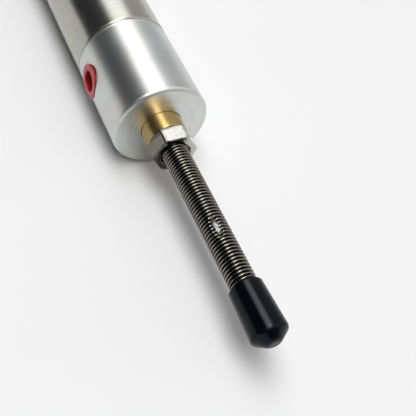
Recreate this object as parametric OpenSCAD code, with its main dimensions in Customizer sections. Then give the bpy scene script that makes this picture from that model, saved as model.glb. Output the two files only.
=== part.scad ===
// Double-acting round-body pneumatic cylinder, rod retracted.
// Frame: origin at the centre of the rear pivot bore, +X along the rod towards its tip,
// +Z along the pivot bore, both air ports face -Y. Millimetres.

/* [Body] */
// outside diameter of the tube, front head and rear cap
body_d = 30.0; // [29.6:0.1:31]
// inside diameter of the tube
tube_bore_d = 27.0; // [26.8:0.1:27.4]
// distance the piston travels
stroke = 76; // [50:1:120]
// length of the front head outside the tube
head_len = 32.3; // [31:0.1:36]
// chamfer on the front head's front rim
head_chamfer = 1.0; // [0.4:0.1:1.5]
// small edge breaks at the seams between tube, head and cap
seam_chamfer = 0.3; // [0.1:0.05:0.4]

/* [Rod] */
// plain diameter of the rod
rod_d = 7.94; // [7.9:0.01:7.95]
// major diameter of the rod thread
thread_d = 7.85; // [7.8:0.01:7.88]
// diameter the thread is drawn at where the nut and the end cap cover it
covered_thread_d = 7.34; // [7.2:0.01:7.4]
// rod length past the front face with the rod retracted
rod_reach = 73.0; // [72:0.5:74]

/* [Rod bushing] */
// outside diameter of the bronze bushing
bushing_d = 12.7; // [12.6:0.1:13]
// length of bushing standing out of the front face
bushing_out = 5.7; // [5:0.1:6]
// bore of the bushing
bushing_bore_d = 7.98; // [7.97:0.01:8.0]

/* [Rod nut] */
// width across the flats of the jam nut
nut_af = 12.3; // [12:0.1:13]
// thickness of the jam nut
nut_t = 5.7; // [4.8:0.1:6]
// turn of the nut about the rod
nut_turn = 6.6; // [0:0.2:60]

/* [Rod end cap] */
// distance from the front face to the open end of the vinyl cap
end_cap_at = 58.7; // [57:0.1:60]
// length of the vinyl cap
end_cap_len = 17.0; // [16.4:0.1:18]
// diameter of the cap at its open end
end_cap_mouth_d = 9.6; // [9.4:0.1:10]
// diameter of the cap at its closed end
end_cap_tip_d = 10.7; // [10.4:0.1:11]

/* [Ports] */
// wall diameter of the port holes
port_d = 8.6; // [8.4:0.1:8.8]
// distance from the front face back to the front port
front_port_back = 22.6; // [22.4:0.1:22.9]
// distance from the pivot to the rear port
rear_port_at = 27.5; // [27:0.1:28.5]
// distance from the axis to the flat around each port
port_flat_h = 14.5; // [14.3:0.1:14.6]
// diameter of the port plug's flange
plug_flange_d = 10.6; // [10.2:0.1:11]
// thickness of the port plug's flange
plug_flange_t = 0.65; // [0.6:0.05:1.2]
// diameter of the hollow in the port plug
plug_hollow_d = 6.4; // [6:0.1:6.6]

/* [Rear pivot] */
// bore of the pivot bushing
pivot_d = 6.4; // [6.3:0.05:6.5]
// thickness of the pivot lug
lug_t = 9.6; // [9:0.1:11]
// width of the pivot lug
lug_w = 19; // [18:0.5:21]

/* [Hidden] */
$fn = 96;

body_r = body_d / 2;
bore_r = tube_bore_d / 2;
rod_r = rod_d / 2;
thread_r = thread_d / 2;
covered_r = covered_thread_d / 2;
spigot_r = bore_r - 0.02;
spigot_len = 10;
bumper_t = 3;
bumper_seat = 1.5;
bumper_r = 12;

// stations along the axis, from the pivot forwards
cap_back = 15;
tube_back = 40;
piston_back = tube_back + spigot_len + bumper_seat + 0.5;
piston_len = 18;
piston_mid = piston_back + piston_len / 2;
piston_front = piston_back + piston_len;
seam = piston_front + stroke + 0.2 + bumper_seat + spigot_len;
face = seam + head_len;
bushing_front = face + bushing_out;
nut_back = bushing_front + 0.1;
nut_front = nut_back + nut_t;
mouth = face + end_cap_at;
cap_tip = mouth + end_cap_len;
rod_tip = face + rod_reach;
front_port = face - front_port_back;
port_flat_r = 5.5;
gland_back = seam + 15.4;
retainer_t = 1.0;
seal_len = 4.0;
bushing_back = gland_back + retainer_t + seal_len + 0.3;

// static o-rings between spigot and tube, drawn at their squeezed height
ring_groove_w = 2.2;
ring_groove_r = bore_r - 1.55;
front_ring_x = seam - 5.6;
rear_ring_x = tube_back + 5.6;

piston_r = 13.3;
piston_groove_r = 10.3;
piston_seal_w = 3.5;
front_seal_x = piston_front - 5.5;
rear_seal_x = piston_back + 2;
neck_r = 3.0;
wear_w = 3.0;
wear_r = 11.9;

// a solid of revolution about X; each point is [radius, x]
module turned(points) {
    rotate([0, 90, 0])
        rotate_extrude()
            polygon(points);
}

// a plain ring about X
module ring(x0, x1, r_in, r_out) {
    turned([[r_in, x0], [r_out, x0], [r_out, x1], [r_in, x1]]);
}

// a round o-ring about X
module round_ring(x, r_mid, r_section) {
    rotate([0, 90, 0])
        rotate_extrude()
            translate([r_mid, x])
                circle(r = r_section, $fn = 24);
}

// a cylinder along -Y from distance h0 to h1 at station x
module port_cylinder(x, h0, h1, r) {
    translate([x, -h0, 0])
        rotate([90, 0, 0])
            cylinder(h = h1 - h0, r = r);
}

// the port hole, its passage to the chamber and the flat around it
module port_cut(x, hole_bottom) {
    port_cylinder(x, port_flat_h, body_r + 5, port_flat_r);
    port_cylinder(x, hole_bottom, body_r, port_d / 2);
    port_cylinder(x, 2, hole_bottom + 1, 2);
}

module barrel_tube() {
    c = seam_chamfer;
    color([0.78, 0.77, 0.75])
        turned([
            [bore_r, tube_back],
            [body_r - c, tube_back],
            [body_r, tube_back + c],
            [body_r, seam - c],
            [body_r - c, seam],
            [bore_r, seam]]);
}

module front_head() {
    c = seam_chamfer;
    k = head_chamfer;
    b = bushing_d / 2;
    color([0.80, 0.80, 0.79])
        difference() {
            turned([
                [6.0, seam - spigot_len + bumper_seat],
                [bumper_r, seam - spigot_len + bumper_seat],
                [bumper_r, seam - spigot_len],
                [spigot_r - 0.3, seam - spigot_len],
                [spigot_r, seam - spigot_len + 0.3],
                [spigot_r, front_ring_x - ring_groove_w / 2],
                [ring_groove_r, front_ring_x - ring_groove_w / 2],
                [ring_groove_r, front_ring_x + ring_groove_w / 2],
                [spigot_r, front_ring_x + ring_groove_w / 2],
                [spigot_r, seam],
                [body_r - c, seam],
                [body_r, seam + c],
                [body_r, face - k],
                [body_r - k, face],
                [b, face],
                [b, gland_back],
                [6.0, gland_back]]);
            port_cut(front_port, 7.6);
        }
}

module rear_cap() {
    c = seam_chamfer;
    color([0.80, 0.80, 0.79])
        difference() {
            union() {
                turned([
                    [0, cap_back],
                    [body_r - 1.2, cap_back],
                    [body_r, cap_back + 1.2],
                    [body_r, tube_back - c],
                    [body_r - c, tube_back],
                    [spigot_r, tube_back],
                    [spigot_r, rear_ring_x - ring_groove_w / 2],
                    [ring_groove_r, rear_ring_x - ring_groove_w / 2],
                    [ring_groove_r, rear_ring_x + ring_groove_w / 2],
                    [spigot_r, rear_ring_x + ring_groove_w / 2],
                    [spigot_r, tube_back + spigot_len - 0.3],
                    [spigot_r - 0.3, tube_back + spigot_len],
                    [bumper_r, tube_back + spigot_len],
                    [bumper_r, tube_back + spigot_len - bumper_seat],
                    [5, tube_back + spigot_len - bumper_seat],
                    [5, rear_port_at - 2.5],
                    [0, rear_port_at - 3.5]]);
                translate([0, 0, -lug_t / 2])
                    cylinder(h = lug_t, r = lug_w / 2);
                translate([0, -lug_w / 2, -lug_t / 2])
                    cube([cap_back + 2, lug_w, lug_t]);
            }
            translate([0, 0, -lug_t])
                cylinder(h = 2 * lug_t, r = pivot_d / 2 + 1.6);
            port_cut(rear_port_at, 6.8);
        }
}

module pivot_bushing() {
    b = lug_t / 2 + 0.2;
    r0 = pivot_d / 2;
    r1 = r0 + 1.58;
    color([0.72, 0.55, 0.28])
        rotate_extrude()
            polygon([
                [r0, -b + 0.2],
                [r0 + 0.2, -b],
                [r1 - 0.2, -b],
                [r1, -b + 0.2],
                [r1, b - 0.2],
                [r1 - 0.2, b],
                [r0 + 0.2, b],
                [r0, b - 0.2]]);
}

module front_head_oring() {
    color([0.05, 0.05, 0.05])
        round_ring(front_ring_x, ring_groove_r + 0.76, 0.74);
}

module rear_cap_oring() {
    color([0.05, 0.05, 0.05])
        round_ring(rear_ring_x, ring_groove_r + 0.76, 0.74);
}

module rod_bushing() {
    b = bushing_d / 2 - 0.01;
    r = bushing_bore_d / 2;
    color([0.72, 0.55, 0.28])
        turned([
            [r + 0.3, bushing_back],
            [b - 0.3, bushing_back],
            [b, bushing_back + 0.3],
            [b, bushing_front - 0.35],
            [b - 0.35, bushing_front],
            [r + 0.3, bushing_front],
            [r, bushing_front - 0.3],
            [r, bushing_back + 0.3]]);
}

// lip seal on the rod, lips facing the air chamber
module rod_seal() {
    b = bushing_d / 2 - 0.03;
    x = gland_back + retainer_t + 0.1;
    color([0.12, 0.30, 0.28])
        turned([
            [rod_r + 0.25, x + seal_len],
            [rod_r + 0.25, x + 1.2],
            [rod_r + 0.015, x + 0.5],
            [rod_r + 0.2, x],
            [rod_r + 0.75, x],
            [rod_r + 1.15, x + 1.7],
            [b - 0.75, x],
            [b - 0.15, x],
            [b, x + 0.5],
            [b, x + seal_len]]);
}

module seal_retainer() {
    color([0.62, 0.62, 0.60])
        ring(gland_back, gland_back + retainer_t, rod_r + 0.5, bushing_d / 2 - 0.03);
}

module front_bumper() {
    color([0.08, 0.08, 0.09])
        ring(seam - spigot_len - bumper_seat, seam - spigot_len + bumper_seat, 6.6, bumper_r - 0.05);
}

module rear_bumper() {
    x = tube_back + spigot_len;
    color([0.08, 0.08, 0.09])
        ring(x - bumper_seat, x + bumper_seat, 7.2, bumper_r - 0.05);
}

// hollow shipping plug in the front port
module front_port_plug() {
    h = port_flat_h + 0.03;
    t = plug_flange_t;
    color([0.70, 0.13, 0.15])
        translate([front_port, 0, 0])
            rotate([90, 0, 0])
                rotate_extrude()
                    polygon([
                        [0, h - 6],
                        [port_d / 2 - 0.45, h - 6],
                        [port_d / 2 - 0.08, h - 4.5],
                        [port_d / 2 - 0.08, h],
                        [plug_flange_d / 2 - 0.15, h],
                        [plug_flange_d / 2, h + 0.15],
                        [plug_flange_d / 2, h + t - 0.3],
                        [plug_flange_d / 2 - 0.3, h + t],
                        [plug_hollow_d / 2 + 0.2, h + t],
                        [plug_hollow_d / 2, h + t - 0.2],
                        [plug_hollow_d / 2, h - 5],
                        [0, h - 5]]);
}

// the nut and the end cap cover the ends of the thread, drawn at its pitch diameter there
module piston_rod() {
    color([0.58, 0.57, 0.55])
        turned([
            [0, piston_back + 0.7],
            [neck_r - 0.4, piston_back + 0.7],
            [neck_r, piston_back + 1.1],
            [neck_r, piston_front],
            [rod_r, piston_front],
            [rod_r, face + 3],
            [covered_r, face + 3.5],
            [covered_r, nut_front],
            [thread_r, nut_front],
            [thread_r, mouth],
            [covered_r, mouth],
            [covered_r, rod_tip - 0.8],
            [covered_r - 0.8, rod_tip],
            [0, rod_tip]]);
}

module rod_nut() {
    corner = nut_af / 2 / cos(30);
    r = thread_r + 0.045;
    flat = nut_af / 2 * 0.96;
    out = corner + 0.6;
    k = (out - flat) * tan(25);
    color([0.80, 0.78, 0.74])
        difference() {
            intersection() {
                translate([nut_back, 0, 0])
                    rotate([nut_turn, 0, 0])
                        rotate([0, 90, 0])
                            rotate([0, 0, 90])
                                cylinder(h = nut_t, r = corner, $fn = 6);
                turned([
                    [0, nut_back],
                    [flat, nut_back],
                    [out, nut_back + k],
                    [out, nut_front - k],
                    [flat, nut_front],
                    [0, nut_front]]);
            }
            turned([
                [0, nut_back - 1],
                [r + 1.5, nut_back - 1],
                [r, nut_back + 0.5],
                [r, nut_front - 0.5],
                [r + 1.5, nut_front + 1],
                [0, nut_front + 1]]);
        }
}

module rod_end_cap() {
    m = end_cap_mouth_d / 2;
    e = end_cap_tip_d / 2;
    r = covered_r + 0.06;
    color([0.03, 0.04, 0.07])
        turned([
            [r + 0.25, mouth + 0.05],
            [m - 0.3, mouth + 0.05],
            [m, mouth + 0.4],
            [e, cap_tip - 2.9],
            [e - 0.5, cap_tip - 2.2],
            [e - 1.5, cap_tip - 1.5],
            [e - 3.4, cap_tip],
            [0, cap_tip],
            [0, rod_tip + 0.1],
            [r - 0.7, rod_tip + 0.1],
            [r, rod_tip - 0.6],
            [r, mouth + 0.3]]);
}

module piston_front_half() {
    x0 = piston_mid;
    x1 = piston_front;
    color([0.74, 0.74, 0.73])
        turned([
            [neck_r + 0.03, x0],
            [wear_r, x0],
            [wear_r, x0 + wear_w / 2],
            [piston_r, x0 + wear_w / 2],
            [piston_r, front_seal_x],
            [piston_groove_r, front_seal_x],
            [piston_groove_r, front_seal_x + piston_seal_w],
            [piston_r, front_seal_x + piston_seal_w],
            [piston_r, x1 - 0.4],
            [piston_r - 0.4, x1],
            [neck_r + 0.03, x1],
            [neck_r + 0.03, x1 - 2],
            [4.3, x1 - 2],
            [4.3, x1 - 3.9],
            [neck_r + 0.03, x1 - 3.9]]);
}

module piston_rear_half() {
    x0 = piston_back;
    x1 = piston_mid;
    color([0.74, 0.74, 0.73])
        turned([
            [neck_r + 0.03, x0 + 5.4],
            [6.8, x0 + 5.4],
            [6.8, x0],
            [piston_r - 0.4, x0],
            [piston_r, x0 + 0.4],
            [piston_r, rear_seal_x],
            [piston_groove_r, rear_seal_x],
            [piston_groove_r, rear_seal_x + piston_seal_w],
            [piston_r, rear_seal_x + piston_seal_w],
            [piston_r, x1 - wear_w / 2],
            [wear_r, x1 - wear_w / 2],
            [wear_r, x1],
            [neck_r + 0.03, x1]]);
}

// lip seal on the piston; its lips face away from the piston's middle
module piston_lip_seal(heel, d) {
    r0 = piston_groove_r + 0.05;
    r1 = bore_r - 0.02;
    w = piston_seal_w - 0.2;
    color([0.10, 0.10, 0.11])
        turned([
            [r0 + 0.15, heel],
            [r1 - 0.5, heel],
            [r1 - 0.35, heel + d * (w - 1.2)],
            [r1, heel + d * (w - 0.4)],
            [r1 - 0.25, heel + d * w],
            [r1 - 0.8, heel + d * w],
            [(r0 + r1) / 2, heel + d * (w - 1.8)],
            [r0 + 0.7, heel + d * w],
            [r0 + 0.1, heel + d * w],
            [r0, heel + d * (w - 0.4)]]);
}

module piston_seal_front() {
    piston_lip_seal(front_seal_x + 0.1, 1);
}

module piston_seal_rear() {
    piston_lip_seal(rear_seal_x + piston_seal_w - 0.1, -1);
}

// guide strip around the piston, split at one place
module piston_wear_ring() {
    x0 = piston_mid - wear_w / 2 + 0.08;
    x1 = piston_mid + wear_w / 2 - 0.08;
    color([0.85, 0.82, 0.74])
        difference() {
            ring(x0, x1, wear_r + 0.05, bore_r - 0.04);
            translate([piston_mid, 0, wear_r + 1])
                rotate([0, 0, 30])
                    cube([12, 0.8, 4], center = true);
        }
}

module piston_oring() {
    color([0.05, 0.05, 0.05])
        round_ring(piston_front - 2.95, neck_r + 0.65, 0.62);
}

module piston_washer() {
    color([0.70, 0.70, 0.69])
        ring(piston_back + 4.5, piston_back + 5.4, neck_r + 0.1, 6.2);
}

module piston_nut() {
    corner = 10 / 2 / cos(30);
    color([0.70, 0.70, 0.69])
        difference() {
            translate([piston_back + 1.0, 0, 0])
                rotate([0, 90, 0])
                    cylinder(h = 3.5, r = corner, $fn = 6);
            ring(piston_back, piston_back + 6, 0, neck_r + 0.03);
        }
}

barrel_tube();
front_head();
rear_cap();
pivot_bushing();
front_head_oring();
rear_cap_oring();
rod_bushing();
rod_seal();
seal_retainer();
front_bumper();
rear_bumper();
front_port_plug();
piston_rod();
rod_nut();
rod_end_cap();
piston_front_half();
piston_rear_half();
piston_seal_front();
piston_seal_rear();
piston_wear_ring();
piston_oring();
piston_washer();
piston_nut();
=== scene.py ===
import math

import bmesh
import bpy
from mathutils import Matrix, Vector


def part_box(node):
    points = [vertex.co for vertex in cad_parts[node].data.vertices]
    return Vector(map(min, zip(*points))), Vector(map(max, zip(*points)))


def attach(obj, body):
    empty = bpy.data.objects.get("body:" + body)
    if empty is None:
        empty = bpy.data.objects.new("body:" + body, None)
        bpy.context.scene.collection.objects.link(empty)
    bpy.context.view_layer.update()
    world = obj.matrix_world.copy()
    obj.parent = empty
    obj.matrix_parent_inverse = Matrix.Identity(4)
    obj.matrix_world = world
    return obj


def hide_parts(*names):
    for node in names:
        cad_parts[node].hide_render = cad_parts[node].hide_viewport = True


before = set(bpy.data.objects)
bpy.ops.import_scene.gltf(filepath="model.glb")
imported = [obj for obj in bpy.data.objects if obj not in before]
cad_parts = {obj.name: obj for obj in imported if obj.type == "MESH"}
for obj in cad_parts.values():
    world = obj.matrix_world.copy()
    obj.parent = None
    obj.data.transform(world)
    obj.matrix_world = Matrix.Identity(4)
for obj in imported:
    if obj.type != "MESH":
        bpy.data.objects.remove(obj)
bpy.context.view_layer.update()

MM = 0.001
TAU = 2 * math.pi
scene = bpy.context.scene


def span(node, axis=0):
    """Lowest and highest coordinate of a CAD node, in millimetres."""
    low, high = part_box(node)
    return low[axis] / MM, high[axis] / MM


# ---------------------------------------------------------------- sizes in mm, from CAD nodes first
TUBE_BACK, SEAM = span("barrel_tube")
FACE = span("front_head")[1]
HEAD_BACK = span("front_head")[0]
BODY_R = span("front_head", 2)[1]
BUSH_BACK, BUSH_FRONT = span("rod_bushing")
BUSH_R = span("rod_bushing", 2)[1]
NUT_BACK, NUT_FRONT = span("rod_nut")
MOUTH, CAP_TIP = span("rod_end_cap")
CAP_R = span("rod_end_cap", 2)[1]
ROD_BACK, ROD_TIP = span("piston_rod")
ROD_R = span("piston_rod", 2)[1]
PLUG_BOX = span("front_port_plug")
PORT_X = sum(PLUG_BOX) / 2
PLUG_R = (PLUG_BOX[1] - PLUG_BOX[0]) / 2
PLUG_OUT = -span("front_port_plug", 1)[0]
PLUG_IN = -span("front_port_plug", 1)[1]
LUG_BACK, SPIGOT_END = span("rear_cap")
PIVOT_HALF = span("pivot_bushing", 2)[1]
PIVOT_R = span("pivot_bushing")[1]
BORE_R = 13.5
SPIGOT_R = 13.48
HEAD_CHAMFER = 0.95
GROOVE_X = SEAM + 0.95
SEAM_CHAMFER = 0.3
SEAM_GAP = 0.24
THREAD_R = 3.925
THREAD_PITCH = 25.4 / 24
THREAD_ROOT_R = 3.29
THREAD_START = FACE + 3
NECK_END = 70.0
NUT_AF = 12.3
NUT_TURN = math.radians(6.6)
NUT_CHAMFER = math.radians(28)
NUT_FACE_SHARE = 0.955
NUT_CORNER_STEP = 0.018
PORT_R = 4.3
PORT_FLAT = 14.5
PORT_FLAT_R = 5.5
PORT_FLOOR = 7.6
REAR_PORT_X = 27.5
LUG_T = 9.6
LUG_R = -LUG_BACK
CAP_BACK = 15.0
DENT_X = FACE + 41.0
DENT_ANGLE = math.radians(110)
DENT_HEIGHT = 3.62
DENT_LONG, DENT_WIDE = 2.5, 1.1


# ---------------------------------------------------------------- shape helpers
def corner_arc(before, corner, after, radius, steps):
    """Points of a round corner between two straight runs, with a support point at each end."""
    a, b, c = Vector(before), Vector(corner), Vector(after)
    u, v = (a - b), (c - b)
    la, lc = u.length, v.length
    u.normalize()
    v.normalize()
    half = math.acos(max(-1.0, min(1.0, u.dot(v)))) / 2
    if half > math.radians(88):
        return [tuple(b)]
    cut = min(radius / math.tan(half), 0.42 * la, 0.42 * lc)
    radius = cut * math.tan(half)
    centre = b + (u + v).normalized() * (radius / math.sin(half))
    start, end = b + u * cut, b + v * cut
    hold = min(0.06, 0.1 * la, 0.1 * lc)
    points = [tuple(start + u * hold)]
    p0, p1 = start - centre, end - centre
    turn = p0.angle_signed(p1)
    for i in range(steps + 1):
        k = -turn * i / steps
        points.append((centre.x + p0.x * math.cos(k) - p0.y * math.sin(k),
                       centre.y + p0.x * math.sin(k) + p0.y * math.cos(k)))
    points.append(tuple(end + v * hold))
    return points


def rounded(points, steps=5):
    """A closed outline whose corners (radius, x, round) are turned into small arcs."""
    out = []
    for i, (r, x, size) in enumerate(points):
        if size <= 0:
            out.append((r, x))
            continue
        before, after = points[i - 1], points[(i + 1) % len(points)]
        out += corner_arc(before[:2], (r, x), after[:2], size, steps)
    return out


def lathe_mesh(name, outline, segments, place):
    """Turns a closed outline of (radius, distance) about an axis; place() puts a point in the row frame."""
    verts, faces, rings = [], [], []
    for r, x in outline:
        if r < 1e-6:
            rings.append([len(verts)])
            verts.append(place(0.0, 0.0, x))
        else:
            rings.append(list(range(len(verts), len(verts) + segments)))
            for k in range(segments):
                a = TAU * k / segments
                verts.append(place(r * math.cos(a), r * math.sin(a), x))
    for i, ring in enumerate(rings):
        nxt = rings[(i + 1) % len(rings)]
        if len(ring) == 1 and len(nxt) == 1:
            continue
        for k in range(segments):
            j = (k + 1) % segments
            a, b = ring[k % len(ring)], ring[j % len(ring)]
            c, d = nxt[j % len(nxt)], nxt[k % len(nxt)]
            face = [v for n, v in enumerate((a, b, c, d)) if v not in (a, b, c, d)[:n]]
            faces.append(face)
    return solid(name, verts, faces)


def along_x(u, v, x):
    return (x * MM, u * MM, v * MM)


def out_of_side(x):
    """Places points for a shape turned about a port, which faces -Y at this station."""
    def place(u, v, h):
        return ((x + u) * MM, -h * MM, v * MM)

    return place


def along_z(u, v, z):
    return (u * MM, v * MM, z * MM)


def solid(name, verts, faces, sharp=38):
    """A mesh object with outward faces, smooth except at edges sharper than the angle."""
    mesh = bpy.data.meshes.new(name)
    mesh.from_pydata(verts, [], faces)
    bm = bmesh.new()
    bm.from_mesh(mesh)
    bmesh.ops.recalc_face_normals(bm, faces=bm.faces)
    bm.to_mesh(mesh)
    bm.free()
    piece = bpy.data.objects.new(name, mesh)
    scene.collection.objects.link(piece)
    soften(mesh, sharp)
    return piece


def soften(mesh, sharp=38):
    mesh.polygons.foreach_set("use_smooth", [True] * len(mesh.polygons))
    mesh.set_sharp_from_angle(angle=math.radians(sharp))


def lathe(name, outline, segments=192, place=along_x):
    return lathe_mesh(name, rounded(outline), segments, place)


def cut_with(piece, cutters, how="DIFFERENCE"):
    """Applies a boolean with each cutter in turn and removes the cutters."""
    for cutter in cutters:
        step = piece.modifiers.new("cut", "BOOLEAN")
        step.operation = how
        step.solver = "EXACT"
        step.object = cutter
        graph = bpy.context.evaluated_depsgraph_get()
        mesh = bpy.data.meshes.new_from_object(piece.evaluated_get(graph))
        piece.modifiers.clear()
        piece.data = mesh
        bpy.data.objects.remove(cutter)
    return piece


def true_normals(piece, axis_of):
    """Gives each face corner the exact normal of the turned surface it lies on."""
    mesh = piece.data
    mesh.polygons.foreach_set("use_smooth", [True] * len(mesh.polygons))
    normals = [Vector((0, 0, 1))] * len(mesh.loops)
    for face in mesh.polygons:
        start, axis = axis_of(face.center / MM)
        for loop in face.loop_indices:
            normals[loop] = turned_normal(mesh, loop, face, start, axis)
    mesh.normals_split_custom_set(normals)


def turned_normal(mesh, loop, face, start, axis):
    """Normal of a turned surface at one face corner; flat faces keep their own."""
    if axis is None:
        return face.normal.copy()
    away = mesh.vertices[mesh.loops[loop].vertex_index].co / MM - start
    away -= axis * away.dot(axis)
    along = face.normal.dot(axis)
    if away.length < 0.05 or abs(along) > 0.9995:
        return face.normal.copy()
    outward = 1 if face.normal.dot(middle_away(face, start, axis)) > 0 else -1
    side = math.sqrt(max(0.0, 1 - along * along)) * outward
    return (axis * along + away.normalized() * side).normalized()


def middle_away(face, start, axis):
    away = face.center / MM - start
    return away - axis * away.dot(axis)


# ---------------------------------------------------------------- node helpers
def new_material(name):
    material = bpy.data.materials.new(name)
    material.use_nodes = True
    tree = material.node_tree
    return material, tree, tree.nodes["Principled BSDF"]


def add(tree, kind, **settings):
    node = tree.nodes.new(kind)
    for key, value in settings.items():
        setattr(node, key, value)
    return node


def maths(tree, operation, first, second=None):
    node = add(tree, "ShaderNodeMath", operation=operation)
    for socket, value in zip(node.inputs, (first, second)):
        if value is None:
            continue
        if isinstance(value, (int, float)):
            socket.default_value = value
        else:
            tree.links.new(value, socket)
    return node.outputs[0]


def place_parts(tree):
    """Object position split into x, y, z in millimetres, and the distance from the X axis."""
    where = add(tree, "ShaderNodeTexCoord").outputs["Object"]
    split = add(tree, "ShaderNodeSeparateXYZ")
    tree.links.new(where, split.inputs[0])
    x, y, z = (maths(tree, "MULTIPLY", split.outputs[i], 1000.0) for i in range(3))
    out = maths(tree, "SQRT", maths(tree, "ADD", maths(tree, "MULTIPLY", y, y),
                                    maths(tree, "MULTIPLY", z, z)))
    return x, y, z, out


def combine(tree, x=None, y=None, z=None):
    node = add(tree, "ShaderNodeCombineXYZ")
    for socket, value in zip(node.inputs, (x, y, z)):
        if value is not None:
            tree.links.new(value, socket)
    return node.outputs[0]


def noise(tree, vector, scale, detail=3.0, rough=0.55):
    node = add(tree, "ShaderNodeTexNoise")
    node.inputs["Scale"].default_value = scale
    node.inputs["Detail"].default_value = detail
    node.inputs["Roughness"].default_value = rough
    tree.links.new(vector, node.inputs["Vector"])
    return node.outputs["Fac"]


def ramp(tree, value, stops):
    node = add(tree, "ShaderNodeValToRGB")
    edge = node.color_ramp.elements
    while len(edge) < len(stops):
        edge.new(0.5)
    for item, (at, colour) in zip(edge, stops):
        item.position = at
        item.color = (*colour, 1.0)
    tree.links.new(value, node.inputs[0])
    return node.outputs["Color"]


def spread(tree, value, low, high, from_low=0.0, from_high=1.0):
    node = add(tree, "ShaderNodeMapRange")
    for key, number in (("From Min", from_low), ("From Max", from_high),
                        ("To Min", low), ("To Max", high)):
        node.inputs[key].default_value = number
    tree.links.new(value, node.inputs["Value"])
    return node.outputs["Result"]


def mix_colour(tree, share, first, second, blend="MIX"):
    node = add(tree, "ShaderNodeMix", data_type="RGBA", blend_type=blend)
    if isinstance(share, float):
        node.inputs["Factor"].default_value = share
    else:
        tree.links.new(share, node.inputs["Factor"])
    tree.links.new(first, node.inputs[6])
    tree.links.new(second, node.inputs[7])
    return node.outputs[2]


def bump(tree, shader, layers):
    """Stacks (height, depth in mm) layers into the shader's normal."""
    previous = None
    for height, depth in layers:
        node = add(tree, "ShaderNodeBump")
        node.inputs["Strength"].default_value = 1.0
        node.inputs["Distance"].default_value = depth * MM
        tree.links.new(height, node.inputs["Height"])
        if previous is not None:
            tree.links.new(previous, node.inputs["Normal"])
        previous = node.outputs["Normal"]
    tree.links.new(previous, shader.inputs["Normal"])


# ---------------------------------------------------------------- materials
def turned_metal(name, dark, light, rough, line_mm=0.35, depth=0.0006, patina=0.5):
    """Bright metal with fine tool lines round the axis, faint stains and uneven polish."""
    material, tree, shader = new_material(name)
    x, y, z, out = place_parts(tree)
    lines = noise(tree, combine(tree, x, out), 1.0 / line_mm, 2.0)
    where = combine(tree, x, y, z)
    cloud = noise(tree, where, 0.16, 4.0)
    grain = noise(tree, where, 2.4, 3.0)
    tone = maths(tree, "ADD", maths(tree, "MULTIPLY", cloud, patina),
                 maths(tree, "MULTIPLY", lines, 1 - patina))
    plain = ramp(tree, tone, [(0.3, dark), (0.7, light)])
    tints = [(0.35, (1.0, 0.965, 0.93)), (0.47, (0.985, 1.0, 0.965)), (0.6, (0.97, 0.985, 1.0))]
    stain = ramp(tree, noise(tree, where, 0.11, 3.0), tints)
    tree.links.new(mix_colour(tree, 1.0, plain, stain, "MULTIPLY"), shader.inputs["Base Color"])
    polish = maths(tree, "ADD", spread(tree, lines, rough - 0.03, rough + 0.05),
                   spread(tree, grain, -0.02, 0.03))
    tree.links.new(polish, shader.inputs["Roughness"])
    shader.inputs["Metallic"].default_value = 1.0
    bump(tree, shader, [(lines, depth), (grain, depth * 1.5)])
    return material


def thread_metal(name):
    """Rod steel: lighter on the crests and darker down in the thread (oil and painted shade), bare in the
    dent.
    """
    material, tree, shader = new_material(name)
    x, y, z, out = place_parts(tree)
    where = combine(tree, x, y, z)
    stain = noise(tree, where, 0.9, 4.0)
    fine = noise(tree, where, 6.0, 3.0)
    height = maths(tree, "ADD", out, spread(tree, stain, -0.12, 0.12))
    # painted shade with oil: the colour runs from light on the crests to near black at the roots, by depth
    oil_and_shade_depth = spread(tree, height, 0.0, 1.0, THREAD_ROOT_R, THREAD_R)
    colour = ramp(tree, oil_and_shade_depth, [(0.0, (0.012, 0.011, 0.009)), (0.5, (0.04, 0.037, 0.03)),
                               (0.85, (0.20, 0.19, 0.16)), (1.0, (0.36, 0.34, 0.295))])
    bare = ramp(tree, fine, [(0.35, (0.04, 0.04, 0.042)), (0.6, (0.20, 0.20, 0.20))])
    apart = add(tree, "ShaderNodeVectorMath", operation="DISTANCE")
    tree.links.new(where, apart.inputs[0])
    dent_y, dent_z = DENT_HEIGHT * math.cos(DENT_ANGLE), DENT_HEIGHT * math.sin(DENT_ANGLE)
    apart.inputs[1].default_value = (DENT_X, dent_y, dent_z)
    spot = spread(tree, apart.outputs["Value"], 1.0, 0.0, DENT_WIDE, 0.8 * DENT_LONG)
    tree.links.new(mix_colour(tree, spot, colour, bare), shader.inputs["Base Color"])
    tree.links.new(spread(tree, fine, 0.16, 0.30), shader.inputs["Roughness"])
    shader.inputs["Metallic"].default_value = 1.0
    bump(tree, shader, [(fine, 0.004)])
    return material


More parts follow.
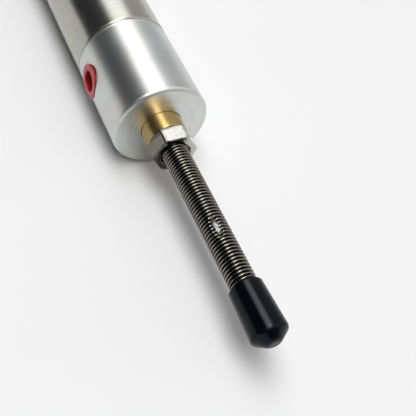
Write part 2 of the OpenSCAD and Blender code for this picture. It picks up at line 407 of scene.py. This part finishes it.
def nut_metal(name):
    """Plated nut with grinding marks; painted shade makes the port side darker and browner, and its front
    face darker.
    """
    material, tree, shader = new_material(name)
    x, y, z, _ = place_parts(tree)
    scratch = noise(tree, combine(tree, maths(tree, "MULTIPLY", x, 0.25),
                                  maths(tree, "MULTIPLY", y, 3.0),
                                  maths(tree, "MULTIPLY", z, 3.0)), 2.0, 4.0)
    mottle = noise(tree, combine(tree, x, y, z), 1.1, 4.0)
    bright = ramp(tree, mottle, [(0.3, (0.50, 0.49, 0.455)), (0.7, (0.66, 0.65, 0.61))])
    # painted shade: a darker, browner copy of the plating for the port side, with the grinding marks in it
    shaded_brown = ramp(tree, scratch, [(0.3, (0.13, 0.118, 0.098)), (0.7, (0.27, 0.245, 0.205))])
    # painted shade: a near-black copy of the plating for the front face
    front_shade_colour = ramp(tree, mottle, [(0.3, (0.03, 0.03, 0.028)), (0.7, (0.13, 0.127, 0.118))])
    # painted shade mask: 1 on the port side (-Y), 0 elsewhere
    port_side_shade = spread(tree, y, 1.0, 0.0, -4.0, -3.2)
    front = spread(tree, x, 0.0, 1.0, NUT_FRONT - 0.8, NUT_FRONT - 0.4)
    # painted shade mask: the front face, strongest towards the port side
    front_shade_mask = maths(tree, "MULTIPLY", front, spread(tree, y, 1.0, 0.2, 0.5, 3.0))
    sides_with_shade = mix_colour(tree, port_side_shade, bright, shaded_brown)
    tree.links.new(mix_colour(tree, front_shade_mask, sides_with_shade, front_shade_colour), shader.inputs["Base Color"])
    rough = maths(tree, "ADD", spread(tree, scratch, 0.04, 0.09), spread(tree, mottle, 0.0, 0.02))
    tree.links.new(rough, shader.inputs["Roughness"])
    shader.inputs["Metallic"].default_value = 1.0
    bump(tree, shader, [(scratch, 0.0005), (mottle, 0.0008)])
    return material


def soft_plastic(name, dark, light, rough, texture_mm, depth, glow=0.0, tint=(1, 1, 1)):
    """Moulded or dipped plastic with a faint orange-peel skin."""
    material, tree, shader = new_material(name)
    x, y, z, _ = place_parts(tree)
    where = combine(tree, x, y, z)
    slow = noise(tree, where, 0.35, 3.0)
    skin = noise(tree, where, 1.0 / texture_mm, 3.0)
    tree.links.new(ramp(tree, slow, [(0.3, dark), (0.7, light)]), shader.inputs["Base Color"])
    tree.links.new(spread(tree, skin, rough - 0.04, rough + 0.06), shader.inputs["Roughness"])
    shader.inputs["Subsurface Weight"].default_value = glow
    shader.inputs["Subsurface Radius"].default_value = tint
    shader.inputs["Subsurface Scale"].default_value = 0.0012
    bump(tree, shader, [(skin, depth), (slow, depth * 4)])
    return material


STEEL = turned_metal("tube_steel", (0.395, 0.39, 0.355), (0.47, 0.465, 0.425), 0.20, 0.9, 0.0004, 0.6)
ALUMINIUM = turned_metal("head_aluminium", (0.52, 0.525, 0.515), (0.71, 0.72, 0.705), 0.31, 0.3,
                         0.0014, 0.35)
TURNED_FACE = turned_metal("face_aluminium", (0.50, 0.505, 0.49), (0.66, 0.665, 0.65), 0.25, 0.9,
                           0.0003, 0.85)
RIM = turned_metal("rim_aluminium", (0.54, 0.545, 0.53), (0.66, 0.665, 0.65), 0.09, 0.3, 0.0003)
BRONZE = turned_metal("bushing_bronze", (0.48, 0.32, 0.12), (0.66, 0.47, 0.21), 0.16, 0.3, 0.0012)
THREAD = thread_metal("rod_steel")
NUT = nut_metal("nut_plating")
PLAIN_STEEL = turned_metal("inner_steel", (0.5, 0.5, 0.49), (0.66, 0.66, 0.65), 0.3)
VINYL = soft_plastic("cap_vinyl", (0.0008, 0.0013, 0.004), (0.0014, 0.0024, 0.007), 0.17, 0.9, 0.0008)
VINYL.node_tree.nodes["Principled BSDF"].inputs["IOR"].default_value = 1.26
RED = soft_plastic("plug_red", (0.33, 0.005, 0.010), (0.46, 0.011, 0.018), 0.30, 0.6, 0.003,
                   0.15, (1.0, 0.12, 0.1))
RUBBER = soft_plastic("seal_rubber", (0.012, 0.012, 0.012), (0.03, 0.03, 0.03), 0.5, 0.4, 0.004)
GREEN_SEAL = soft_plastic("rod_seal_rubber", (0.03, 0.10, 0.09), (0.06, 0.18, 0.16), 0.45, 0.4, 0.004)
WEAR = soft_plastic("wear_plastic", (0.66, 0.62, 0.52), (0.76, 0.72, 0.62), 0.45, 0.5, 0.004)


# ---------------------------------------------------------------- camera
def look(at, towards, roll_deg):
    """Rotation that looks from one point to another with the picture turned about its middle."""
    aim = (Vector(towards) - Vector(at)).to_track_quat("-Z", "Y").to_matrix()
    return (aim @ Matrix.Rotation(math.radians(roll_deg), 3, "Z")).to_euler()


CAMERA_AT = (0.32585, -0.08479, 0.14727)
CAMERA_AIM = (0.22211, 0.00123, 0.0)
CAMERA_ROLL = 20.59
camera_data = bpy.data.cameras.new("camera")
camera_data.sensor_width = 36
camera_data.lens = 62.85
camera_data.clip_start = 0.01
camera_data.clip_end = 20
camera = bpy.data.objects.new("camera", camera_data)
scene.collection.objects.link(camera)
camera.location = CAMERA_AT
camera.rotation_euler = look(CAMERA_AT, CAMERA_AIM, CAMERA_ROLL)
scene.camera = camera
scene.view_settings.view_transform = "Standard"


# ---------------------------------------------------------------- surroundings
# room brightness by angle about the cylinder: -180 is the left horizon, 90 is overhead
BACK_LIGHT = [(-180, 0.30), (-170, 0.55), (-90, 0.80), (-8, 0.80), (2, 0.66), (20, 0.54), (50, 0.56),
              (62, 0.60), (92, 0.50), (118, 0.045), (165, 0.035), (180, 0.10)]
FRONT_LIGHT = [(-180, 0.10), (-90, 0.5), (-5, 0.5), (10, 0.7), (40, 1.0), (70, 0.95), (105, 0.8),
               (123, 0.35), (138, 0.10), (165, 0.04), (180, 0.04)]
# share of the lamp's power by place along it: how far ahead a ray goes for each unit it climbs
LAMP_ALONG = [(-2.5, 0.11), (-1.2, 0.15), (-0.75, 0.24), (-0.6, 0.40), (-0.42, 0.80), (-0.25, 1.0),
              (0.15, 1.0), (0.4, 0.75), (0.9, 0.50), (1.15, 0.15), (1.4, 0.0)]
LAMP_POWER = 4.9
# the paper sees a dimmer room than the metal does, and the metal a stronger lamp
DIFFUSE_ROOM, GLOSSY_LAMP = 0.55, 1.8
LAMP_SLANT, LAMP_OFFSET, LAMP_LEAN = -0.40, -0.34, -0.14
# a little more blue than red and green
COOL = 0.008


def grey_stops(levels):
    """Ramp stops from (place, level) rows, with the first and last place as the ramp's ends."""
    low, high = levels[0][0], levels[-1][0]
    return [((at - low) / (high - low), (level, level, level + COOL)) for at, level in levels]


def studio():
    """A long overhead softbox, brightest at the zenith, in a dim room with a pale grey right side."""
    world = bpy.data.worlds.new("studio")
    scene.world = world
    world.use_nodes = True
    tree = world.node_tree
    split = add(tree, "ShaderNodeSeparateXYZ")
    tree.links.new(add(tree, "ShaderNodeTexCoord").outputs["Generated"], split.inputs[0])
    x, y, z = split.outputs
    around = maths(tree, "ARCTAN2", z, y)
    turn = maths(tree, "ADD", maths(tree, "DIVIDE", around, TAU), 0.5)
    back = ramp(tree, turn, grey_stops(BACK_LIGHT))
    front = ramp(tree, turn, grey_stops(FRONT_LIGHT))
    forward = spread(tree, x, 0.0, 1.0, -0.35, 0.2)
    sides = mix_colour(tree, forward, back, front)
    ahead = spread(tree, x, 0.0, 0.96, 0.70, 0.90)
    low = spread(tree, z, 1.0, 0.0, 0.15, 0.50)
    ray = add(tree, "ShaderNodeLightPath").outputs
    keep = maths(tree, "MULTIPLY", maths(tree, "SUBTRACT", 1.0, maths(tree, "MULTIPLY", ahead, low)),
                 spread(tree, ray["Is Diffuse Ray"], 1.0, DIFFUSE_ROOM))
    room = add(tree, "ShaderNodeVectorMath", operation="SCALE")
    tree.links.new(sides, room.inputs[0])
    tree.links.new(keep, room.inputs["Scale"])
    high = maths(tree, "MAXIMUM", z, 0.05)
    u = maths(tree, "DIVIDE", x, high)
    v = maths(tree, "DIVIDE", y, high)
    part_way = spread(tree, u, 0.0, 1.0, LAMP_ALONG[0][0], LAMP_ALONG[-1][0])
    along = ramp(tree, part_way, grey_stops(LAMP_ALONG))
    slant = maths(tree, "ADD", maths(tree, "MULTIPLY", u, LAMP_SLANT), LAMP_OFFSET)
    middle = maths(tree, "MAXIMUM", slant, LAMP_LEAN)
    off = maths(tree, "ABSOLUTE", maths(tree, "SUBTRACT", v, middle))
    half = maths(tree, "ADD", maths(tree, "MULTIPLY", maths(tree, "MINIMUM", u, 0.0), -0.15), 0.22)
    edge = maths(tree, "SUBTRACT", off, half)
    inside = spread(tree, edge, 1.0, 0.0, -0.12, 0.10)
    power = spread(tree, ray["Is Glossy Ray"], LAMP_POWER, LAMP_POWER * GLOSSY_LAMP)
    lamp = maths(tree, "MULTIPLY", maths(tree, "MULTIPLY", along, inside), power)
    total = add(tree, "ShaderNodeVectorMath", operation="ADD")
    tree.links.new(room.outputs[0], total.inputs[0])
    tree.links.new(lamp, total.inputs[1])
    lights = tree.nodes["Background"]
    tree.links.new(total.outputs[0], lights.inputs["Color"])
    plain = add(tree, "ShaderNodeBackground")
    plain.inputs["Color"].default_value = (0.9, 0.9, 0.9, 1)
    choose = add(tree, "ShaderNodeMixShader")
    tree.links.new(ray["Is Camera Ray"], choose.inputs[0])
    tree.links.new(lights.outputs[0], choose.inputs[1])
    tree.links.new(plain.outputs[0], choose.inputs[2])
    tree.links.new(choose.outputs[0], tree.nodes["World Output"].inputs["Surface"])


def floor():
    """A wide pale sheet that the cylinder lies on."""
    size, z = 3.0, -BODY_R * MM - 0.00005
    verts = [(-size, -size, z), (size, -size, z), (size, size, z), (-size, size, z)]
    sheet = solid("floor", verts, [(0, 1, 2, 3)])
    material, tree, shader = new_material("floor_paper")
    x, y, z, _ = place_parts(tree)
    tone = noise(tree, combine(tree, x, y, z), 0.02, 3.0)
    tree.links.new(ramp(tree, tone, [(0.3, (0.84, 0.84, 0.84)), (0.7, (0.855, 0.855, 0.855))]),
                   shader.inputs["Base Color"])
    shader.inputs["Roughness"].default_value = 0.7
    shader.inputs["Specular IOR Level"].default_value = 0.2
    sheet.data.materials.append(material)


studio()
floor()


# ---------------------------------------------------------------- pieces
def finish_piece(piece, material, body, slot, node, *more):
    """Gives a piece its materials and its body in the frame, and hides its CAD node; the slot is not used.
    """
    piece.data.materials.clear()
    for layer in (material, *more):
        piece.data.materials.append(layer)
    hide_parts(node)
    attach(piece, body)
    return piece


def make_tube():
    """Plain tube with broken edges, a hair short of the heads so that the seams show."""
    e, back, front = 0.32, TUBE_BACK + SEAM_GAP, SEAM - SEAM_GAP
    outline = [(BORE_R, back, 0), (BODY_R - e, back, 0.05), (BODY_R, back + e, 0.1),
               (BODY_R, front - e, 0.1), (BODY_R - e, front, 0.05), (BORE_R, front, 0)]
    return lathe("tube", outline, 256)


def head_axis(centre):
    """Port walls turn about the port, everything else about the rod."""
    off = math.hypot(centre.x - PORT_X, centre.z)
    if centre.y < -7 and off < PORT_FLAT_R + 0.05 and math.hypot(centre.y, centre.z) < BODY_R - 0.02:
        return Vector((PORT_X, 0, 0)), Vector((0, -1, 0))
    return Vector((0, 0, 0)), Vector((1, 0, 0))


def port_cutters(x):
    """The round flat and the hole of a port, as shapes to cut away."""
    place = out_of_side(x)
    clear, mouth = 20, PORT_FLAT + 0.2
    flat = [(0, PORT_FLAT), (PORT_FLAT_R, PORT_FLAT), (PORT_FLAT_R, clear), (0, clear)]
    hole = [(0, PORT_FLOOR), (PORT_R, PORT_FLOOR), (PORT_R + 0.25, mouth), (0, mouth)]
    return [lathe_mesh("cut_flat", flat, 96, place), lathe_mesh("cut_hole", hole, 96, place)]


def make_head():
    """Front head: spigot, seam, fine groove, three-faceted rim, bushing seat and port."""
    k, r_in, r_seam = HEAD_CHAMFER, 6.0, 14.3
    outline = [(r_in, HEAD_BACK, 0), (SPIGOT_R - 0.28, HEAD_BACK, 0), (SPIGOT_R, HEAD_BACK + 0.3, 0),
               (SPIGOT_R, SEAM - SEAM_GAP, 0), (r_seam, SEAM - SEAM_GAP, 0), (r_seam, SEAM + SEAM_GAP, 0),
               (BODY_R - 0.12, SEAM + SEAM_GAP, 0.03), (BODY_R, SEAM + SEAM_GAP + 0.3, 0.08),
               (BODY_R, GROOVE_X - 0.17, 0.03), (BODY_R - 0.18, GROOVE_X, 0.04),
               (BODY_R, GROOVE_X + 0.17, 0.03),
               (BODY_R, FACE - k, 0.12), (BODY_R - 0.28 * k, FACE - 0.56 * k, 0.08),
               (BODY_R - 0.48 * k, FACE - 0.38 * k, 0.06), (BODY_R - 1.1 * k, FACE, 0.05),
               (BUSH_R + 0.2, FACE, 0.05),
               (BUSH_R + 0.01, FACE - 0.2, 0), (BUSH_R + 0.01, SEAM + 15.4, 0), (r_in, SEAM + 15.4, 0)]
    head = lathe("head", outline, 256)
    cut_with(head, port_cutters(PORT_X))
    true_normals(head, head_axis)
    for face in head.data.polygons:
        on_rim = face.center.x > (FACE - k - 0.1) * MM and math.hypot(*face.center.yz) > (BODY_R - 1.6) * MM
        flat = abs(face.normal.x) > 0.995
        on_face = flat and face.center.x > (FACE - 0.05) * MM
        face.material_index = 2 if on_face else int(on_rim and not flat)
    return head


def make_bushing():
    """Bronze bushing whose front end stands out of the head."""
    r = 3.99
    outline = [(r + 0.3, BUSH_BACK, 0), (BUSH_R - 0.3, BUSH_BACK, 0), (BUSH_R, BUSH_BACK + 0.3, 0),
               (BUSH_R, BUSH_FRONT - 0.15, 0.06), (BUSH_R - 0.15, BUSH_FRONT, 0.06),
               (r + 0.3, BUSH_FRONT, 0.08), (r, BUSH_FRONT - 0.3, 0.08), (r, BUSH_BACK + 0.3, 0)]
    return lathe("bushing", outline, 192)


def nut_radius(angle):
    """Distance from the axis to the hexagon's side, with slightly rounded corners."""
    half = math.pi / 6
    a = (angle - NUT_TURN) % (2 * half) - half
    side = NUT_AF / 2 / math.cos(a)
    corner = NUT_AF / 2 / math.cos(half)
    return min(side, corner - 0.12 - 0.5 * (half - abs(a)) ** 2)


def nut_angles():
    """Even steps, closer together beside each corner."""
    angles = []
    for k in range(6):
        start = NUT_TURN + k * math.pi / 3
        for step in (-3, -2, -1, 0, 1, 2, 3):
            angles.append(start + step * NUT_CORNER_STEP)
        for step in range(1, 16):
            angles.append(start + 3 * NUT_CORNER_STEP + (math.pi / 3 - 6 * NUT_CORNER_STEP) * step / 16)
    return sorted(a % TAU for a in angles)


def make_nut():
    """Hexagon nut, chamfered at both ends, with a countersunk bore."""
    r_in, r_lip = 3.97, 4.75
    flat = NUT_AF / 2 * NUT_FACE_SHARE
    slope = math.tan(NUT_CHAMFER)
    verts, faces, rows = [], [], []
    for angle in nut_angles():
        r = nut_radius(angle)
        drop = max(0.02, (r - flat) * slope)
        outline = rounded([(r_in, NUT_BACK + 0.5, 0), (r_lip, NUT_BACK, 0.05), (flat, NUT_BACK, 0.08),
                           (r, NUT_BACK + drop, 0.08), (r, NUT_FRONT - drop, 0.08),
                           (flat, NUT_FRONT, 0.08), (r_lip, NUT_FRONT, 0.06),
                           (r_in, NUT_FRONT - 0.6, 0)], 3)
        rows.append(range(len(verts), len(verts) + len(outline)))
        verts += [along_x(q * math.cos(angle), q * math.sin(angle), x) for q, x in outline]
    for row, nxt in zip(rows, rows[1:] + rows[:1]):
        n = len(row)
        faces += [(row[i], nxt[i], nxt[(i + 1) % n], row[(i + 1) % n]) for i in range(n)]
    return solid("jam_nut", verts, faces, 30)


# the thread's section over one pitch: (share of the pitch, radius)
THREAD_SECTION = [(0.0, THREAD_R), (0.05, THREAD_R - 0.006), (0.085, THREAD_R - 0.05),
                  (0.22, THREAD_R - 0.29), (0.37, THREAD_ROOT_R + 0.05), (0.44, THREAD_ROOT_R + 0.004),
                  (0.56, THREAD_ROOT_R + 0.004), (0.63, THREAD_ROOT_R + 0.05),
                  (0.78, THREAD_R - 0.29), (0.915, THREAD_R - 0.05), (0.95, THREAD_R - 0.006)]


def smooth(value, low, high):
    t = max(0.0, min(1.0, (value - low) / (high - low)))
    return t * t * (3 - 2 * t)


def crushed(r, x, angle):
    """Flattens the thread crests over one small spot and smears them into the roots."""
    turn = (angle - DENT_ANGLE + math.pi) % TAU - math.pi
    along, across = (x - DENT_X) / DENT_LONG, turn * THREAD_R / DENT_WIDE
    if abs(turn) > 1.0 or abs(along) > 1.8:
        return r
    ripple = 0.02 * math.sin(9 * along + 3 * across) + 0.012 * math.sin(17 * along - 8 * across)
    flat = (DENT_HEIGHT - 0.05 * along * along - 0.10 * across * across + ripple) / math.cos(turn)
    away = math.hypot(along, across)
    pressed = min(r, flat + 0.5 * smooth(away, 1.15, 1.6))
    smear = 1 - smooth(away + 0.12 * math.sin(11 * along), 0.75, 1.1)
    return pressed + (flat - pressed) * smear


def thread_radius(share_radius, x, angle):
    """Section radius, limited by the start run-out, the dent and the chamfered tip."""
    tip = THREAD_ROOT_R - 0.1 + (ROD_TIP - x)
    start = THREAD_ROOT_R + 0.02 + max(0.0, 1.2 - (x - THREAD_START)) * 0.9
    r = min(crushed(share_radius, x, angle), tip)
    return max(r, min(start, THREAD_R)) if x < THREAD_START + 1.2 else r


def make_thread():
    """Helical thread: the section swept round the rod, each turn joined to the next."""
    around = 96
    m = len(THREAD_SECTION)
    turns = int((ROD_TIP - THREAD_START) / THREAD_PITCH) + 3
    steps = turns * around
    x0 = THREAD_START - 1.5 * THREAD_PITCH
    verts, faces = [], []
    for k in range(steps + 1):
        angle = TAU * k / around
        for share, radius in THREAD_SECTION:
            x = x0 + THREAD_PITCH * (k / around + share)
            r = thread_radius(radius, x, angle)
            verts.append(along_x(r * math.cos(angle), r * math.sin(angle), x))
    for k in range(steps):
        for j in range(m - 1):
            a = k * m + j
            faces.append((a, a + m, a + m + 1, a + 1))
        if k + around < steps:
            a, b = k * m + m - 1, (k + around) * m
            faces.append((a, a + m, b + m, b))
    rod = solid("threaded_rod", verts, faces, 60)
    trim(rod, THREAD_START, ROD_TIP)
    return rod


def trim(piece, low, high):
    """Cuts a tube square at two stations along X and closes the cuts."""
    bm = bmesh.new()
    bm.from_mesh(piece.data)
    for at, side in ((low, -1), (high, 1)):
        geom = bm.verts[:] + bm.edges[:] + bm.faces[:]
        cut = bmesh.ops.bisect_plane(bm, geom=geom, dist=1e-7, plane_co=(at * MM, 0, 0),
                                     plane_no=(side, 0, 0), clear_outer=True)
        rim = [e for e in cut["geom_cut"] if isinstance(e, bmesh.types.BMEdge)]
        bmesh.ops.remove_doubles(bm, verts=list({v for e in rim for v in e.verts}), dist=2e-6)
        rim = [e for e in bm.edges if e.is_boundary and abs(e.verts[0].co.x - at * MM) < 1e-6
               and abs(e.verts[1].co.x - at * MM) < 1e-6]
        bmesh.ops.contextual_create(bm, geom=rim)
    bmesh.ops.recalc_face_normals(bm, faces=bm.faces)
    bm.to_mesh(piece.data)
    bm.free()
    soften(piece.data, 60)


def make_shank():
    """Smooth rod behind the thread, with the neck that carries the piston."""
    neck = 3.0
    outline = [(0, ROD_BACK, 0), (neck - 0.4, ROD_BACK, 0.05), (neck, ROD_BACK + 0.4, 0.05),
               (neck, NECK_END, 0.05), (ROD_R, NECK_END, 0.1), (ROD_R, THREAD_START - 0.3, 0.08),
               (ROD_R - 0.35, THREAD_START + 0.05, 0.05), (0, THREAD_START + 0.05, 0)]
    return lathe("rod_shank", outline, 160)


def make_end_cap():
    """Dipped cap: open mouth, slight taper and a blunt domed tip."""
    m, e, r = 4.8, CAP_R, 3.96
    outline = [(r + 0.05, MOUTH, 0.2), (m, MOUTH, 1.1), (m + 0.12, MOUTH + 3.5, 1.5),
               (e, CAP_TIP - 2.6, 1.5), (e - 3.4, CAP_TIP, 2.2), (0, CAP_TIP, 0),
               (0, ROD_TIP + 0.15, 0), (r, ROD_TIP + 0.15, 0.6)]
    return lathe_mesh("vinyl_cap", rounded(outline, 9), 160, along_x)


def make_plug():
    """Hollow port plug with a thin flange on the port's flat."""
    hollow, stem, seat = 3.2, PORT_R - 0.08, PORT_FLAT + 0.03
    outline = [(0, PLUG_IN, 0), (stem - 0.5, PLUG_IN, 0.2), (stem, PLUG_IN + 1.6, 0.2),
               (stem, seat, 0), (PLUG_R - 0.12, seat, 0.15), (PLUG_R, PLUG_OUT, 0.3),
               (hollow, PLUG_OUT, 0.25), (hollow - 0.25, PLUG_IN + 1.0, 0.3), (0, PLUG_IN + 1.0, 0)]
    return lathe("port_plug", outline, 144, out_of_side(PORT_X))


def rear_axis(centre):
    """Port walls turn about the port, the lug about the pivot, everything else about the rod."""
    off = math.hypot(centre.x - REAR_PORT_X, centre.z)
    if centre.y < -6 and off < PORT_FLAT_R + 0.05 and math.hypot(centre.y, centre.z) < BODY_R - 0.02:
        return Vector((REAR_PORT_X, 0, 0)), Vector((0, -1, 0))
    if centre.x < CAP_BACK - 0.02:
        flat_side = centre.x > 0 and math.hypot(centre.x, centre.y) > 5.5
        return Vector((0, 0, 0)), None if flat_side else Vector((0, 0, 1))
    return Vector((0, 0, 0)), Vector((1, 0, 0))


def lug_outline():
    """Plan of the pivot lug: a half round and two straight sides."""
    arc = [(LUG_R * math.cos(a), LUG_R * math.sin(a))
           for a in (math.pi / 2 + math.pi * k / 64 for k in range(65))]
    return [(CAP_BACK + 2, LUG_R)] + arc + [(CAP_BACK + 2, -LUG_R)]


def make_lug():
    """Flat pivot lug with bevelled edges."""
    h, b = LUG_T / 2, 0.5
    plan = lug_outline()
    rows = [(h, b), (h - b, 0.0), (-h + b, 0.0), (-h, b)]
    verts, faces = [], []
    for z, inset in rows:
        k = (LUG_R - inset) / LUG_R
        verts += [((x if x > CAP_BACK else x * k) * MM, y * k * MM, z * MM) for x, y in plan]
    n = len(plan)
    for r in range(3):
        faces += [(r * n + i, r * n + (i + 1) % n, (r + 1) * n + (i + 1) % n, (r + 1) * n + i)
                  for i in range(n)]
    faces += [tuple(range(n)), tuple(reversed(range(3 * n, 4 * n)))]
    return solid("lug", verts, faces)


def make_rear_cap():
    """Rear head in one piece with the pivot lug, with its port and air passage."""
    c = SEAM_CHAMFER
    outline = [(0, CAP_BACK, 0), (BODY_R - 1.2, CAP_BACK, 0.25), (BODY_R, CAP_BACK + 1.2, 0.25),
               (BODY_R, TUBE_BACK - c, 0.08), (BODY_R - c, TUBE_BACK, 0.05), (SPIGOT_R, TUBE_BACK, 0),
               (SPIGOT_R, SPIGOT_END - 0.3, 0), (SPIGOT_R - 0.28, SPIGOT_END, 0), (5.0, SPIGOT_END, 0),
               (5.0, 25.0, 0), (0, 24.0, 0)]
    cap = lathe("rear_cap_body", outline, 256)
    cut_with(cap, [make_lug()], "UNION")
    eye = lathe_mesh("cut_eye", [(0, -8), (PIVOT_R, -8), (PIVOT_R, 8), (0, 8)], 128, along_z)
    passage = [(0, 2), (2, 2), (2, 9), (0, 9)]
    drill = lathe_mesh("cut_drill", passage, 48, out_of_side(REAR_PORT_X))
    cut_with(cap, [eye] + port_cutters(REAR_PORT_X) + [drill])
    true_normals(cap, rear_axis)
    return cap


def make_pivot_bushing():
    r, b = 3.2, PIVOT_HALF
    outline = [(r, -b, 0.2), (PIVOT_R, -b, 0.2), (PIVOT_R, b, 0.2), (r, b, 0.2)]
    return lathe("pivot_bush", outline, 144, along_z)


# each line: mesh, material, body, slot, CAD node
finish_piece(make_tube(), STEEL, "barrel", "tube_stainless", "barrel_tube")
finish_piece(make_head(), ALUMINIUM, "barrel", "head_aluminium", "front_head", RIM, TURNED_FACE)
finish_piece(make_bushing(), BRONZE, "barrel", "bronze", "rod_bushing")
finish_piece(make_rear_cap(), ALUMINIUM, "barrel", "head_aluminium", "rear_cap")
finish_piece(make_pivot_bushing(), BRONZE, "barrel", "bronze", "pivot_bushing")
finish_piece(make_plug(), RED, "port_plug", "plug_plastic", "front_port_plug")
finish_piece(make_nut(), NUT, "jam_nut", "nut_steel", "rod_nut")
finish_piece(make_thread(), THREAD, "rod", "rod_steel", "piston_rod")
finish_piece(make_shank(), PLAIN_STEEL, "rod", "rod_steel", "piston_rod")
finish_piece(make_end_cap(), VINYL, "end_cap", "cap_vinyl", "rod_end_cap")

# the sealed inner parts keep their CAD shape
INNER = {
    "front_head_oring": RUBBER, "rear_cap_oring": RUBBER, "rod_seal": GREEN_SEAL,
    "seal_retainer": PLAIN_STEEL, "front_bumper": RUBBER, "rear_bumper": RUBBER,
    "piston_front_half": ALUMINIUM, "piston_rear_half": ALUMINIUM, "piston_seal_front": RUBBER,
    "piston_seal_rear": RUBBER, "piston_wear_ring": WEAR, "piston_oring": RUBBER,
    "piston_washer": PLAIN_STEEL, "piston_nut": PLAIN_STEEL,
}
for node, material in INNER.items():
    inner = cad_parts[node]
    for slot in inner.material_slots:
        slot.material = material
